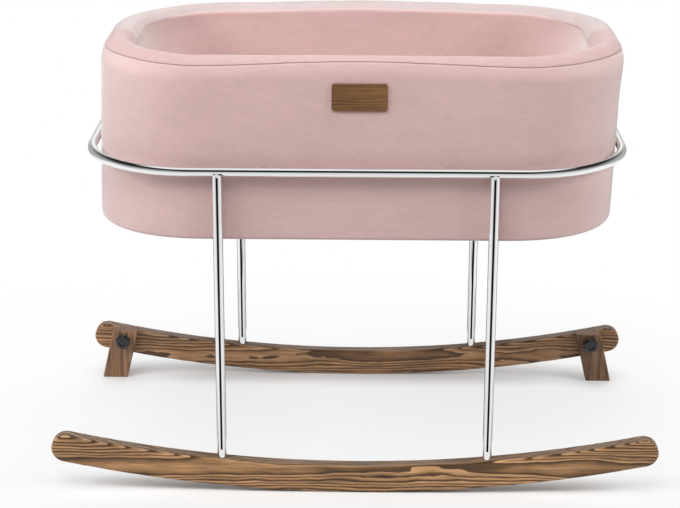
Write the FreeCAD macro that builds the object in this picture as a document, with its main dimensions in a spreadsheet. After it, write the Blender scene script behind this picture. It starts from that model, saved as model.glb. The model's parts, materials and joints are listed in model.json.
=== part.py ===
import FreeCAD, Part
import math
import os
import Sketcher

# A rocking cradle: an upholstered oval basket bolted inside a bent tube ring, four tube legs,
# two bent-wood rockers and two swing-down stop feet. Millimetres, +Z up, the floor at Z = 0,
# +X along the rockers and +Y towards the rocker that carries the stop feet.

# Driving dimensions, each written once
SIZES = {
    # tube frame
    "frame_width": 533.0,
    "ring_length": 898.0,
    "ring_end_flat": 182.0,
    "ring_height": 562.5,
    "tube_diameter": 16.0,
    "tube_wall": 1.5,
    "leg_spacing": 450.0,
    # rockers
    "rocker_length": 1028.0,
    "rocker_height": 49.0,
    "rocker_thickness": 25.0,
    "rocker_radius": 2380.0,
    "rocker_edge": 4.0,
    # legs in their sockets
    "socket_depth": 20.0,
    "socket_floor": 14.0,
    "insert_length": 22.0,
    "leg_bolt_diameter": 8.0,
    "leg_bolt_grip": 16.0,
    "leg_bolt_head": 13.0,
    "leg_bolt_head_height": 7.0,
    "leg_bolt_socket": 6.0,
    "leg_bolt_socket_depth": 4.0,
    "leg_washer_diameter": 17.0,
    "leg_washer_thickness": 1.6,
    # stop feet
    "stop_inset": 59.0,
    "stop_rise": 9.5,
    "stop_width": 48.0,
    "stop_thickness": 25.0,
    "stop_top": 18.0,
    "stop_sole_offset": 18.5,
    "stop_edge": 2.5,
    "stop_washer_diameter": 22.0,
    "stop_washer_thickness": 1.6,
    # clamp knobs
    "knob_diameter": 29.0,
    "knob_collar_diameter": 19.0,
    "knob_collar_height": 3.0,
    "knob_grip": 9.0,
    "knob_dome": 3.0,
    "knob_recess_diameter": 15.0,
    "knob_recess_depth": 3.0,
    "knob_scallop": 9.0,
    "knob_scallop_depth": 2.4,
    "stud_diameter": 8.0,
    "stud_bore_depth": 9.0,
    "stud_point": 1.0,
    "wood_insert_diameter": 12.0,
    "wood_insert_length": 18.0,
    # basket body
    "side_gap": 5.5,
    "end_gap": 2.0,
    "basket_end_flat": 126.0,
    "basket_drop": 120.0,
    "basket_rise": 175.5,
    "cover_thickness": 8.0,
    "shoulder_height": 24.0,
    "shoulder_depth": 6.0,
    "bottom_round": 10.0,
    "bottom_tuck": 46.0,
    "shell_thickness": 9.0,
    "base_thickness": 12.0,
    "liner_thickness": 37.0,
    "liner_round": 9.0,
    "dust_cover_thickness": 1.5,
    # padded rim
    "rim_crown": 10.0,
    "rim_skin": 3.0,
    "rim_seam_inset": 6.0,
    "rim_join_offset": 13.0,
    "seam_gap": 0.3,
    # mattress
    "mattress_gap": 3.0,
    "mattress_side": 44.0,
    "mattress_crown": 12.0,
    "mattress_round": 10.0,
    # label plate
    "label_length": 90.0,
    "label_height": 45.0,
    "label_thickness": 4.0,
    "label_corner": 5.0,
    "label_edge": 1.0,
    "label_drop": 54.0,
    "label_offset": 5.0,
    # fixings between basket and ring
    "bolt_spacing": 300.0,
    "bolt_diameter": 6.0,
    "bolt_head": 12.0,
    "bolt_head_height": 4.0,
    "bolt_washer_diameter": 18.0,
    "bolt_washer_thickness": 1.6,
    "bolt_reach": 9.0,
    "spacer_diameter": 13.0,
    "ring_nut_diameter": 9.0,
    "ring_nut_length": 9.0,
    "head_room": 1.5,
    # screws that hold the base panel
    "screw_pitch": 180.0,
    "screw_diameter": 4.0,
    "screw_length": 26.0,
    "screw_head": 7.0,
    "screw_head_height": 2.2,
    # clearances
    "fit": 0.05,
    "clearance": 0.3,
    "overrun": 5.0,
}

KNOB_LOBES = 7
DOME_SHARE = 0.72
NUT_SETBACK_SHARE = 0.2
TOLERANCE = 1e-4

doc = FreeCAD.newDocument("cradle")
sheet = doc.addObject("Spreadsheet::Sheet", "sizes")
for row, (alias, number) in enumerate(SIZES.items(), start=1):
    sheet.set("A%d" % row, alias)
    sheet.set("B%d" % row, str(number))
    sheet.setAlias("B%d" % row, alias)
doc.recompute()


class Size:
    """A length with its value and the sheet formula that it is bound by."""

    def __init__(self, value, text):
        self.value = value
        self.text = text

    def joined(self, sign, other, value):
        text = other.text if isinstance(other, Size) else repr(other)
        return Size(value, "(%s %s %s)" % (self.text, sign, text))

    def __add__(self, other):
        return self.joined("+", other, self.value + number_of(other))

    def __sub__(self, other):
        return self.joined("-", other, self.value - number_of(other))

    def __mul__(self, other):
        return self.joined("*", other, self.value * number_of(other))

    def __truediv__(self, other):
        return self.joined("/", other, self.value / number_of(other))

    def __neg__(self):
        return Size(-self.value, "(0 - %s)" % self.text)


def number_of(size):
    return size.value if isinstance(size, Size) else size


def root(square):
    return Size(math.sqrt(square.value), "sqrt(%s)" % square.text)


class Sheet:
    """Reads the sheet's cells by alias, as Size values."""

    def __getattr__(self, alias):
        return Size(float(sheet.get(alias)), "sizes.%s" % alias)


s = Sheet()
ZERO = Size(0.0, "0")


# Sketches, with every corner, centre and radius bound to the sheet


def origin_plane(body, role):
    return next(o for o in body.Origin.OriginFeatures if o.Role == role)


def new_sketch(body, role, offset=ZERO):
    """A sketch on one of the body's own planes, moved along that plane's normal by offset."""
    sketch = body.newObject("Sketcher::SketchObject", "sketch")
    sketch.AttachmentSupport = [(origin_plane(body, role), "")]
    sketch.MapMode = "FlatFace"
    sketch.setExpression("AttachmentOffset.Base.z", offset.text)
    return sketch


def hold_along(sketch, kind, geometry, point, size):
    """Binds one coordinate of a sketch point."""
    axis = -2 if kind == "DistanceX" else -1
    if abs(size.value) < TOLERANCE:
        sketch.addConstraint(Sketcher.Constraint("PointOnObject", geometry, point, axis))
        return
    ends = (-1, 1, geometry, point)
    if size.value < 0:
        ends = (geometry, point, -1, 1)
        size = -size
    index = sketch.addConstraint(Sketcher.Constraint(kind, *ends, size.value))
    sketch.setExpression("Constraints[%d]" % index, size.text)


def hold(sketch, geometry, point, place):
    hold_along(sketch, "DistanceX", geometry, point, place[0])
    hold_along(sketch, "DistanceY", geometry, point, place[1])


def flat(place):
    return FreeCAD.Vector(place[0].value, place[1].value, 0)


def arc_between(start, end, centre):
    """The counterclockwise arc from start to end."""
    first = math.atan2(start.y - centre.y, start.x - centre.x)
    last = math.atan2(end.y - centre.y, end.x - centre.x)
    if last < first:
        last += 2 * math.pi
    circle = Part.Circle(centre, FreeCAD.Vector(0, 0, 1), start.distanceToPoint(centre))
    return Part.ArcOfCircle(circle, first, last)


def outline(sketch, corners, arcs=None, closed=True):
    """Joins the corners by lines. arcs maps an edge's number to its (centre, turn), where turn
    is 1 for a counterclockwise arc and -1 for a clockwise one."""
    arcs = arcs or {}
    edges = []
    count = len(corners) if closed else len(corners) - 1
    for number in range(count):
        start = flat(corners[number])
        end = flat(corners[(number + 1) % len(corners)])
        if number in arcs:
            centre, turn = arcs[number]
            ends = (start, end) if turn > 0 else (end, start)
            geometry = sketch.addGeometry(arc_between(*ends, flat(centre)), False)
            edges.append((geometry, 1, 2) if turn > 0 else (geometry, 2, 1))
        else:
            geometry = sketch.addGeometry(Part.LineSegment(start, end), False)
            edges.append((geometry, 1, 2))
    for number, (geometry, first, last) in enumerate(edges):
        hold(sketch, geometry, first, corners[number])
        following = number + 1
        if following < count or closed:
            mate, mate_first, _ = edges[following % count]
            sketch.addConstraint(Sketcher.Constraint("Coincident", geometry, last, mate, mate_first))
        else:
            hold(sketch, geometry, last, corners[-1])
        if number in arcs:
            chord = flat(corners[(number + 1) % len(corners)]) - flat(corners[number])
            upright = abs(chord.y) > abs(chord.x)
            kind = "DistanceX" if upright else "DistanceY"
            hold_along(sketch, kind, geometry, 3, arcs[number][0][0 if upright else 1])


def disc(sketch, place, radius):
    """A circle with its centre and radius bound."""
    circle = Part.Circle(flat(place), FreeCAD.Vector(0, 0, 1), radius.value)
    geometry = sketch.addGeometry(circle, False)
    index = sketch.addConstraint(Sketcher.Constraint("Radius", geometry, radius.value))
    sketch.setExpression("Constraints[%d]" % index, radius.text)
    hold(sketch, geometry, 3, place)


class Plan:
    """A rounded rectangle seen from above, centred on the origin."""

    def __init__(self, half_length, half_width, radius):
        self.half_length = half_length
        self.half_width = half_width
        self.radius = radius

    def inset(self, depth):
        return Plan(self.half_length - depth, self.half_width - depth, self.radius - depth)

    def loop(self, sketch):
        """Draws the whole rounded rectangle."""
        x = self.half_length
        y = self.half_width
        a = x - self.radius
        b = y - self.radius
        corners = [(a, -y), (x, -b), (x, b), (a, y), (-a, y), (-x, b), (-x, -b), (-a, -y)]
        centres = [(a, -b), (a, b), (-a, b), (-a, -b)]
        outline(sketch, corners, {2 * n: (centre, 1) for n, centre in enumerate(centres)})

    def quarter_path(self, sketch, side=1, stop=ZERO):
        """Draws a quarter: from the middle of one long side, round the corner, to Y = stop."""
        x = self.half_length
        a = x - self.radius
        y = self.half_width if side > 0 else -self.half_width
        b = y - self.radius if side > 0 else y + self.radius
        corners = [(ZERO, y), (a, y), (x, b), (x, stop)]
        outline(sketch, corners, {1: ((a, b), -side)}, closed=False)


# Features


def new_body(label):
    body = doc.addObject("PartDesign::Body", label)
    body.Label = label
    return body


def place(body, x=ZERO, y=ZERO, z=ZERO):
    body.setExpression("Placement.Base.x", x.text)
    body.setExpression("Placement.Base.y", y.text)
    body.setExpression("Placement.Base.z", z.text)


def pad(body, sketch, length, reverse=False, symmetric=False):
    feature = body.newObject("PartDesign::Pad", "pad")
    feature.Profile = sketch
    feature.setExpression("Length", length.text)
    feature.Reversed = reverse
    if symmetric:
        feature.SideType = "Symmetric"
    return feature


def pocket(body, sketch, length, reverse=False, symmetric=False):
    """Cuts the sketch out of the body, and stops if the cut missed it."""
    doc.recompute()
    before = body.Shape.Volume
    feature = body.newObject("PartDesign::Pocket", "pocket")
    feature.Profile = sketch
    feature.setExpression("Length", length.text)
    feature.Reversed = reverse
    if symmetric:
        feature.SideType = "Symmetric"
    doc.recompute()
    if not body.Shape.Volume < before - TOLERANCE:
        raise RuntimeError("a pocket cuts nothing in " + body.Label)
    return feature


def sweep(body, profile, path):
    feature = body.newObject("PartDesign::AdditivePipe", "sweep")
    feature.Profile = profile
    feature.Spine = (path, [])
    return feature


def mirrored(body, features, *roles):
    """Repeats features across the planes with those roles."""
    doc.recompute()
    repeat = body.newObject("PartDesign::MultiTransform", "mirrored")
    mirrors = []
    for role in roles:
        mirror = body.newObject("PartDesign::Mirrored", "mirror")
        mirror.MirrorPlane = (origin_plane(body, role), [""])
        mirrors.append(mirror)
    repeat.Originals = features
    repeat.Transformations = mirrors
    body.Tip = repeat
    doc.recompute()
    return repeat


def all_quarters(body, *features):
    return mirrored(body, list(features), "YZ_Plane", "XZ_Plane")


def both_halves(body, *features):
    return mirrored(body, list(features), "YZ_Plane")


def round_edges(body, radius, chosen):
    """Rounds every edge of the body that the test picks out."""
    doc.recompute()
    base = body.Tip
    names = ["Edge%d" % n for n, edge in enumerate(base.Shape.Edges, start=1) if chosen(edge)]
    fillet = body.newObject("PartDesign::Fillet", "rounded")
    fillet.Base = (base, names)
    fillet.setExpression("Radius", radius.text)
    doc.recompute()
    return fillet


def lies_at(edge, axis, level):
    """True where the whole edge lies at that level of axis 0, 1 or 2."""
    box = edge.BoundBox
    low = (box.XMin, box.YMin, box.ZMin)[axis]
    high = (box.XMax, box.YMax, box.ZMax)[axis]
    return abs(low - level) < TOLERANCE and abs(high - level) < TOLERANCE


# Places that several pieces share

half_width = s.frame_width / 2
tube_radius = s.tube_diameter / 2
tube_bore = tube_radius - s.tube_wall
leg_x = s.leg_spacing / 2
ring = Plan(s.ring_length / 2, half_width, half_width - s.ring_end_flat / 2)

rocker_top_radius = s.rocker_radius - s.rocker_height
rocker_mid_radius = s.rocker_radius - s.rocker_height / 2


def height_on_rocker(radius, x):
    """Height of a rocker's circle of that radius, at a distance x from the middle."""
    return s.rocker_radius - root(radius * radius - x * x)


leg_bottom = height_on_rocker(rocker_top_radius, leg_x) - s.socket_depth
bolt_seat = leg_bottom - s.socket_floor

pivot_x = s.rocker_length / 2 - s.stop_inset
pivot_z = height_on_rocker(rocker_mid_radius, pivot_x) + s.stop_rise
rocker_face = half_width - s.rocker_thickness / 2
stop_face = s.clearance + s.stop_thickness
knob_seat = stop_face + s.stop_washer_thickness

basket_half_width = ring.half_width - tube_radius - s.side_gap
basket = Plan(
    ring.half_length - tube_radius - s.end_gap,
    basket_half_width,
    basket_half_width - s.basket_end_flat / 2,
)
basket_bottom = s.ring_height - s.basket_drop
seam_height = s.ring_height + s.basket_rise
base_bottom = basket_bottom + s.cover_thickness
base_top = base_bottom + s.base_thickness
shell_depth = s.cover_thickness + s.shell_thickness
wall_depth = shell_depth + s.liner_thickness
shell_outside = basket.half_width - s.cover_thickness
shell_inside = basket.half_width - shell_depth
shoulder_start = seam_height - s.shoulder_height
bolt_x = s.bolt_spacing / 2
bolt_radius = s.bolt_diameter / 2


# Tube frame


def frame_ring():
    """The bent ring, with a hole for each threaded bush in its inner side."""
    body = new_body("frame_ring")
    path = new_sketch(body, "XY_Plane", s.ring_height)
    ring.quarter_path(path)
    section = new_sketch(body, "YZ_Plane")
    disc(section, (half_width, s.ring_height), tube_radius)
    disc(section, (half_width, s.ring_height), tube_bore)
    all_quarters(body, sweep(body, section, path))
    holes = new_sketch(body, "XZ_Plane")
    for x in (bolt_x, -bolt_x):
        disc(holes, (x, s.ring_height), s.ring_nut_diameter / 2 + s.fit)
    pocket(body, holes, s.frame_width, symmetric=True)
    return body


def leg(label, x, y):
    """One leg, its top coped to sit under the ring."""
    body = new_body(label)
    section = new_sketch(body, "XY_Plane", leg_bottom)
    disc(section, (ZERO, ZERO), tube_radius)
    disc(section, (ZERO, ZERO), tube_bore)
    pad(body, section, s.ring_height - leg_bottom)
    cope = new_sketch(body, "YZ_Plane")
    disc(cope, (ZERO, s.ring_height), tube_radius + s.fit)
    pocket(body, cope, s.tube_diameter + s.overrun, symmetric=True)
    place(body, x, y)
    return body


def four_legs():
    legs = []
    for end, y in (("front", -half_width), ("rear", half_width)):
        for side, x in (("left", -leg_x), ("right", leg_x)):
            legs.append(leg("leg_%s_%s" % (end, side), x, y))
    return legs


def turned_at_legs(label, steps):
    """A group of four stepped round pieces on the legs' axes. Each step has its bottom height,
    its length, its radius and the radius of its bore, if it has one."""
    body = new_body(label)
    features = []
    for bottom, length, radius, bore in steps:
        section = new_sketch(body, "XY_Plane", bottom)
        disc(section, (leg_x, half_width), radius)
        if bore is not None:
            disc(section, (leg_x, half_width), bore)
        features.append(pad(body, section, length))
    all_quarters(body, *features)
    return body


def leg_fixings():
    """Threaded plugs in the legs' ends, and the bolts and washers that come up from below."""
    bolt = s.leg_bolt_diameter / 2
    head_top = bolt_seat - s.leg_washer_thickness
    head_bottom = head_top - s.leg_bolt_head_height
    recess_top = head_bottom + s.leg_bolt_socket_depth
    head = s.leg_bolt_head / 2
    recess = s.leg_bolt_socket / 2
    shank = s.leg_washer_thickness + s.socket_floor + s.leg_bolt_grip
    inserts = [(leg_bottom, s.insert_length, tube_bore - s.fit, bolt + s.fit)]
    washers = [(head_top, s.leg_washer_thickness, s.leg_washer_diameter / 2, bolt + s.clearance)]
    bolts = [
        (head_bottom, s.leg_bolt_socket_depth, head, recess),
        (recess_top, head_top - recess_top, head, None),
        (head_top, shank, bolt, None),
    ]
    return [
        turned_at_legs("leg_inserts", inserts),
        turned_at_legs("leg_bolts", bolts),
        turned_at_legs("leg_washers", washers),
    ]


# Rockers


def rocker(label, y, has_stops):
    """A bent rocker with fully rounded ends, two leg sockets and, at the rear, two stud holes."""
    body = new_body(label)
    end_x = s.rocker_length / 2 - s.rocker_height / 2
    centre = (ZERO, s.rocker_radius)
    lean = end_x / rocker_mid_radius
    drop = root(rocker_mid_radius * rocker_mid_radius - end_x * end_x) / rocker_mid_radius

    def at(radius, side):
        x = lean * radius
        return (x if side > 0 else -x, s.rocker_radius - drop * radius)

    corners = [
        at(s.rocker_radius, -1),
        at(s.rocker_radius, 1),
        at(rocker_top_radius, 1),
        at(rocker_top_radius, -1),
    ]
    arcs = {
        0: (centre, 1),
        1: (at(rocker_mid_radius, 1), 1),
        2: (centre, -1),
        3: (at(rocker_mid_radius, -1), 1),
    }
    side_view = new_sketch(body, "XZ_Plane")
    outline(side_view, corners, arcs)
    pad(body, side_view, s.rocker_thickness, symmetric=True)
    face = (s.rocker_thickness / 2).value
    round_edges(body, s.rocker_edge, lambda e: lies_at(e, 1, face) or lies_at(e, 1, -face))

    cuts = (
        (leg_bottom, tube_radius + s.fit, s.socket_depth + s.rocker_height, True),
        (leg_bottom, s.leg_bolt_diameter / 2 + s.clearance, leg_bottom, False),
        (bolt_seat, s.leg_washer_diameter / 2 + s.clearance, bolt_seat, False),
    )
    for level, radius, depth, upwards in cuts:
        holes = new_sketch(body, "XY_Plane", level)
        for x in (leg_x, -leg_x):
            disc(holes, (x, ZERO), radius)
        pocket(body, holes, depth, reverse=upwards)
    if has_stops:
        holes = new_sketch(body, "XZ_Plane", s.rocker_thickness / 2)
        for x in (pivot_x, -pivot_x):
            disc(holes, (x, pivot_z), s.wood_insert_diameter / 2 + s.fit)
        pocket(body, holes, s.wood_insert_length)
    place(body, y=y)
    return body


# Stop feet, each drawn about its own pivot on the inner face of the rear rocker


def at_pivot(body, side):
    place(body, pivot_x if side > 0 else -pivot_x, rocker_face, pivot_z)


def stop_foot(label, side):
    """A leaning block with its sole and top cut level."""
    body = new_body(label)
    half = s.stop_width / 2
    top_offset = s.stop_sole_offset * s.stop_top / pivot_z

    def corner(offset, edge, height):
        x = offset + half if edge > 0 else offset - half
        return (x if side > 0 else -x, height)

    corners = [
        corner(s.stop_sole_offset, -1, -pivot_z),
        corner(s.stop_sole_offset, 1, -pivot_z),
        corner(-top_offset, 1, s.stop_top),
        corner(-top_offset, -1, s.stop_top),
    ]
    side_view = new_sketch(body, "XZ_Plane", s.clearance)
    outline(side_view, corners)
    pad(body, side_view, s.stop_thickness)
    round_edges(body, s.stop_edge, lambda edge: True)
    hole = new_sketch(body, "XZ_Plane")
    disc(hole, (ZERO, ZERO), s.stud_diameter / 2 + s.clearance)
    pocket(body, hole, (stop_face + s.overrun) * 2, symmetric=True)
    at_pivot(body, side)
    return body


def stop_washer(label, side):
    body = new_body(label)
    section = new_sketch(body, "XZ_Plane", stop_face)
    disc(section, (ZERO, ZERO), s.stop_washer_diameter / 2)
    disc(section, (ZERO, ZERO), s.stud_diameter / 2 + s.clearance)
    pad(body, section, s.stop_washer_thickness)
    at_pivot(body, side)
    return body


def wood_insert(label, side):
    """The threaded bush in the rocker that the stud screws into."""
    body = new_body(label)
    section = new_sketch(body, "XZ_Plane")
    disc(section, (ZERO, ZERO), s.wood_insert_diameter / 2)
    disc(section, (ZERO, ZERO), s.stud_diameter / 2 + s.fit)
    pad(body, section, s.wood_insert_length, reverse=True)
    at_pivot(body, side)
    return body


def knob_stud(label, side):
    """The threaded stud, from the knob's bore through the foot into the rocker's bush."""
    body = new_body(label)
    radius = s.stud_diameter / 2
    start = -(knob_seat + s.stud_bore_depth)
    shoulder = s.wood_insert_length - s.stud_point
    profile = new_sketch(body, "YZ_Plane")
    corners = [
        (start, ZERO),
        (s.wood_insert_length, ZERO),
        (s.wood_insert_length, radius - s.stud_point),
        (shoulder, radius),
        (start, radius),
    ]
    outline(profile, corners)
    turn = body.newObject("PartDesign::Revolution", "turned")
    turn.Profile = profile
    turn.ReferenceAxis = (profile, ["H_Axis"])
    at_pivot(body, side)
    return body


def clamp_knob(label, side):
    """A lobed hand knob with a collar, a domed and dished face and a bore for its stud."""
    body = new_body(label)
    grip = s.knob_diameter / 2
    bore = s.stud_diameter / 2 + s.fit
    collar_end = knob_seat + s.knob_collar_height
    grip_end = collar_end + s.knob_grip
    face = grip_end + s.knob_dome
    recess = s.knob_recess_diameter / 2
    recess_floor = face - s.knob_recess_depth
    profile = new_sketch(body, "YZ_Plane")
    corners = [
        (-knob_seat, bore),
        (-knob_seat, s.knob_collar_diameter / 2),
        (-collar_end, s.knob_collar_diameter / 2),
        (-collar_end, grip),
        (-grip_end, grip),
        (-face, grip * DOME_SHARE),
        (-face, recess),
        (-recess_floor, recess),
        (-recess_floor, ZERO),
        (-(knob_seat + s.stud_bore_depth + s.fit), ZERO),
        (-(knob_seat + s.stud_bore_depth + s.fit), bore),
    ]
    outline(profile, corners)
    turn = body.newObject("PartDesign::Revolution", "turned")
    turn.Profile = profile
    turn.ReferenceAxis = (profile, ["H_Axis"])
    scallop = new_sketch(body, "XZ_Plane")
    scallop_radius = s.knob_scallop / 2
    disc(scallop, (ZERO, grip + scallop_radius - s.knob_scallop_depth), scallop_radius)
    cut = pocket(body, scallop, (face + s.overrun) * 2, symmetric=True)
    lobes = body.newObject("PartDesign::PolarPattern", "lobes")
    lobes.Originals = [cut]
    lobes.Axis = (origin_plane(body, "Y_Axis"), [""])
    lobes.Angle = 360
    lobes.Occurrences = KNOB_LOBES
    body.Tip = lobes
    at_pivot(body, side)
    return body


def stop_feet():
    pieces = []
    for name, side in (("left", -1), ("right", 1)):
        pieces.append(stop_foot("stop_foot_" + name, side))
        pieces.append(stop_washer("stop_washer_" + name, side))
        pieces.append(wood_insert("rocker_insert_" + name, side))
        pieces.append(knob_stud("knob_stud_" + name, side))
        pieces.append(clamp_knob("knob_" + name, side))
    return pieces


# Basket: each wall layer is a section swept round the same rounded plan


def swept_wall(label, corners, arcs):
    body = new_body(label)
    path = new_sketch(body, "XY_Plane", seam_height)
    basket.quarter_path(path)
    section = new_sketch(body, "YZ_Plane")
    outline(section, corners, arcs)
    all_quarters(body, sweep(body, section, path))
    return body


def across_at_bolts(body, radius, half_depth):
    """Bores the fixing holes through both long sides."""
    holes = new_sketch(body, "XZ_Plane")
    for x in (bolt_x, -bolt_x):
        disc(holes, (x, s.ring_height), radius)
    pocket(body, holes, half_depth * 2, symmetric=True)


def screw_places():
    """Places of the base screws in one quarter, on the middle line of the shell's edge."""
    edge = basket.inset(s.cover_thickness + s.shell_thickness / 2)
    return [(ZERO, edge.half_width), (s.screw_pitch, edge.half_width), (edge.half_length, ZERO)]


def screw_head_bottom():
    """Height of the screw heads, sunk until they clear the rounding of the base panel's edge."""
    bend = s.bottom_round - s.cover_thickness
    reach = bend - (s.shell_thickness - s.screw_head) / 2
    return base_bottom + bend - root(bend * bend - reach * reach) + s.clearance


def screw_discs(body, level, radius):
    sketch = new_sketch(body, "XY_Plane", level)
    for at in screw_places():
        disc(sketch, at, radius)
    return sketch


def basket_shell():
    """The bent wall that carries the upholstery, up to the start of the padded shoulder."""
    body = new_body("basket_shell")
    section = new_sketch(body, "XY_Plane", base_top)
    basket.inset(s.cover_thickness).loop(section)
    basket.inset(shell_depth).loop(section)
    pad(body, section, shoulder_start - base_top)
    across_at_bolts(body, bolt_radius + s.clearance, basket.half_width)
    pilots = screw_discs(body, base_top, s.screw_diameter / 2 + s.fit)
    depth = screw_head_bottom() + s.screw_length - base_top + s.clearance
    all_quarters(body, pocket(body, pilots, depth, reverse=True))
    return body


def basket_base():
    """The base panel, its lower edge rounded for the cover to turn under."""
    body = new_body("basket_base")
    section = new_sketch(body, "XY_Plane", base_bottom)
    basket.inset(s.cover_thickness).loop(section)
    pad(body, section, s.base_thickness)
    low = base_bottom.value
    round_edges(body, s.bottom_round - s.cover_thickness, lambda edge: lies_at(edge, 2, low))
    bores = screw_discs(body, base_bottom, s.screw_diameter / 2 + s.clearance)
    shanks = pocket(body, bores, s.base_thickness, reverse=True)
    recesses = screw_discs(body, base_bottom, s.screw_head / 2 + s.clearance)
    sunk = screw_head_bottom() + s.screw_head_height - base_bottom
    heads = pocket(body, recesses, sunk, reverse=True)
    all_quarters(body, shanks, heads)
    return body


def base_screws():
    body = new_body("base_screws")
    level = screw_head_bottom()
    head = pad(body, screw_discs(body, level, s.screw_head / 2), s.screw_head_height)
    shank = pad(body, screw_discs(body, level, s.screw_diameter / 2), s.screw_length)
    all_quarters(body, head, shank)
    return body


def outer_cover():
    """The padded velvet cover: a wall that leans in over a long shoulder up to the seam, and a hem
    that turns under the base in two concentric bends."""
    out = basket.half_width
    inside = out - s.cover_thickness
    bend = out - s.bottom_round
    bend_height = basket_bottom + s.bottom_round
    hem = out - s.bottom_tuck
    rise = s.shoulder_height * s.shoulder_height
    shoulder_radius = (rise / s.shoulder_depth + s.shoulder_depth) / 2
    corners = [
        (out - s.shoulder_depth, seam_height),
        (out, shoulder_start),
        (out, bend_height),
        (bend, basket_bottom),
        (hem, basket_bottom),
        (hem, base_bottom),
        (bend, base_bottom),
        (inside, bend_height),
        (inside, seam_height),
    ]
    arcs = {
        0: ((out - shoulder_radius, shoulder_start), -1),
        2: ((bend, bend_height), -1),
        6: ((bend, bend_height), 1),
    }
    body = swept_wall("outer_cover", corners, arcs)
    across_at_bolts(body, s.spacer_diameter / 2 + s.clearance, out + s.overrun)
    return body


def dust_cover():
    """The cloth panel that closes the underside inside the hem."""
    body = new_body("dust_cover")
    section = new_sketch(body, "XY_Plane", base_bottom)
    basket.inset(s.bottom_tuck + s.clearance).loop(section)
    pad(body, section, s.dust_cover_thickness, reverse=True)
    return body


def inner_liner():
    """The padded lining, from the base panel up to the rim, hollowed behind for the bolt heads."""
    back = shell_inside
    face = basket.half_width - wall_depth
    bend = face + s.liner_round
    bend_height = seam_height - s.liner_round
    corners = [
        (back, base_top),
        (back, seam_height),
        (bend, seam_height),
        (face, bend_height),
        (face, base_top),
    ]
    body = swept_wall("inner_liner", corners, {2: ((bend, bend_height), 1)})
    hollow = new_sketch(body, "XZ_Plane", -back)
    for x in (bolt_x, -bolt_x):
        disc(hollow, (x, s.ring_height), s.bolt_washer_diameter / 2 + s.head_room)
    depth = s.bolt_washer_thickness + s.bolt_head_height + s.head_room
    mirrored(body, [pocket(body, hollow, depth, reverse=True)], "XZ_Plane")
    return body


def crown_arc(chord_half, rise, middle, level):
    """Centre of an arc that stands on a level chord and rises that far above it."""
    radius = (chord_half * chord_half + rise * rise) / (rise * 2)
    return (middle, level + rise - radius)


rim_outside = basket.half_width - s.rim_seam_inset
rim_inside = basket.half_width - wall_depth
rim_middle = (rim_outside + rim_inside) / 2
rim_half = (rim_outside - rim_inside) / 2
rim_level = seam_height + s.seam_gap


def rim_pad():
    """The foam ring under the rim covers, crowned across its width, with a tongue that stands on
    the shell's edge."""
    half = rim_half - s.rim_skin - s.seam_gap
    rise = s.rim_crown - s.rim_skin - s.seam_gap
    outside = rim_middle + half
    tongue_inside = shell_inside + s.seam_gap
    corners = [
        (outside, rim_level),
        (rim_middle - half, rim_level),
        (tongue_inside, rim_level),
        (tongue_inside, shoulder_start),
        (outside, shoulder_start),
    ]
    arcs = {0: (crown_arc(half, rise, rim_middle, rim_level), 1)}
    return swept_wall("rim_pad", corners, arcs)


def rim_cover(label, side, stop):
    """One half of the rim's cover, a crowned skin that ends at the seams across the two ends."""
    body = new_body(label)
    path = new_sketch(body, "XY_Plane", seam_height)
    basket.quarter_path(path, side, stop)
    inner_half = rim_half - s.rim_skin
    places = [
        rim_middle + rim_half,
        rim_middle - rim_half,
        rim_middle - inner_half,
        rim_middle + inner_half,
    ]
    outer_centre = crown_arc(rim_half, s.rim_crown, rim_middle, rim_level)
    inner_centre = crown_arc(inner_half, s.rim_crown - s.rim_skin, rim_middle, rim_level)

    def across(distance):
        return distance if side > 0 else -distance

    corners = [(across(distance), rim_level) for distance in places]
    arcs = {
        0: ((across(outer_centre[0]), outer_centre[1]), side),
        2: ((across(inner_centre[0]), inner_centre[1]), -side),
    }
    section = new_sketch(body, "YZ_Plane")
    outline(section, corners, arcs)
    both_halves(body, sweep(body, section, path))
    return body


def mattress():
    """The loose mattress, crowned across its width, with soft upper and lower edges."""
    body = new_body("mattress")
    plan = basket.inset(wall_depth + s.mattress_gap)
    bottom = base_top + s.clearance
    shoulder = bottom + s.mattress_side
    section = new_sketch(body, "XY_Plane", bottom)
    plan.loop(section)
    pad(body, section, s.mattress_side + s.mattress_crown + s.overrun)
    reach = plan.half_width + s.overrun
    corners = [
        (reach, shoulder),
        (reach, shoulder + s.mattress_crown * 2),
        (-reach, shoulder + s.mattress_crown * 2),
        (-reach, shoulder),
    ]
    crown = new_sketch(body, "YZ_Plane")
    outline(crown, corners, {3: (crown_arc(reach, s.mattress_crown, ZERO, shoulder), -1)})
    pocket(body, crown, (plan.half_length + s.overrun) * 2, symmetric=True)
    low = bottom.value
    middle = (bottom + s.mattress_side / 2).value

    def soft_edge(edge):
        return lies_at(edge, 2, low) or edge.BoundBox.ZMin > middle

    round_edges(body, s.mattress_round, soft_edge)
    return body


def label_plate():
    """The bare wooden plate on the front wall."""
    body = new_body("label_plate")
    section = new_sketch(body, "XZ_Plane", basket.half_width)
    Plan(s.label_length / 2, s.label_height / 2, s.label_corner).loop(section)
    pad(body, section, s.label_thickness)
    front = -(basket.half_width + s.label_thickness).value
    round_edges(body, s.label_edge, lambda edge: lies_at(edge, 1, front))
    place(body, x=s.label_offset, z=seam_height - s.label_drop)
    return body


# Fixings that hold the basket in the ring


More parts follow.
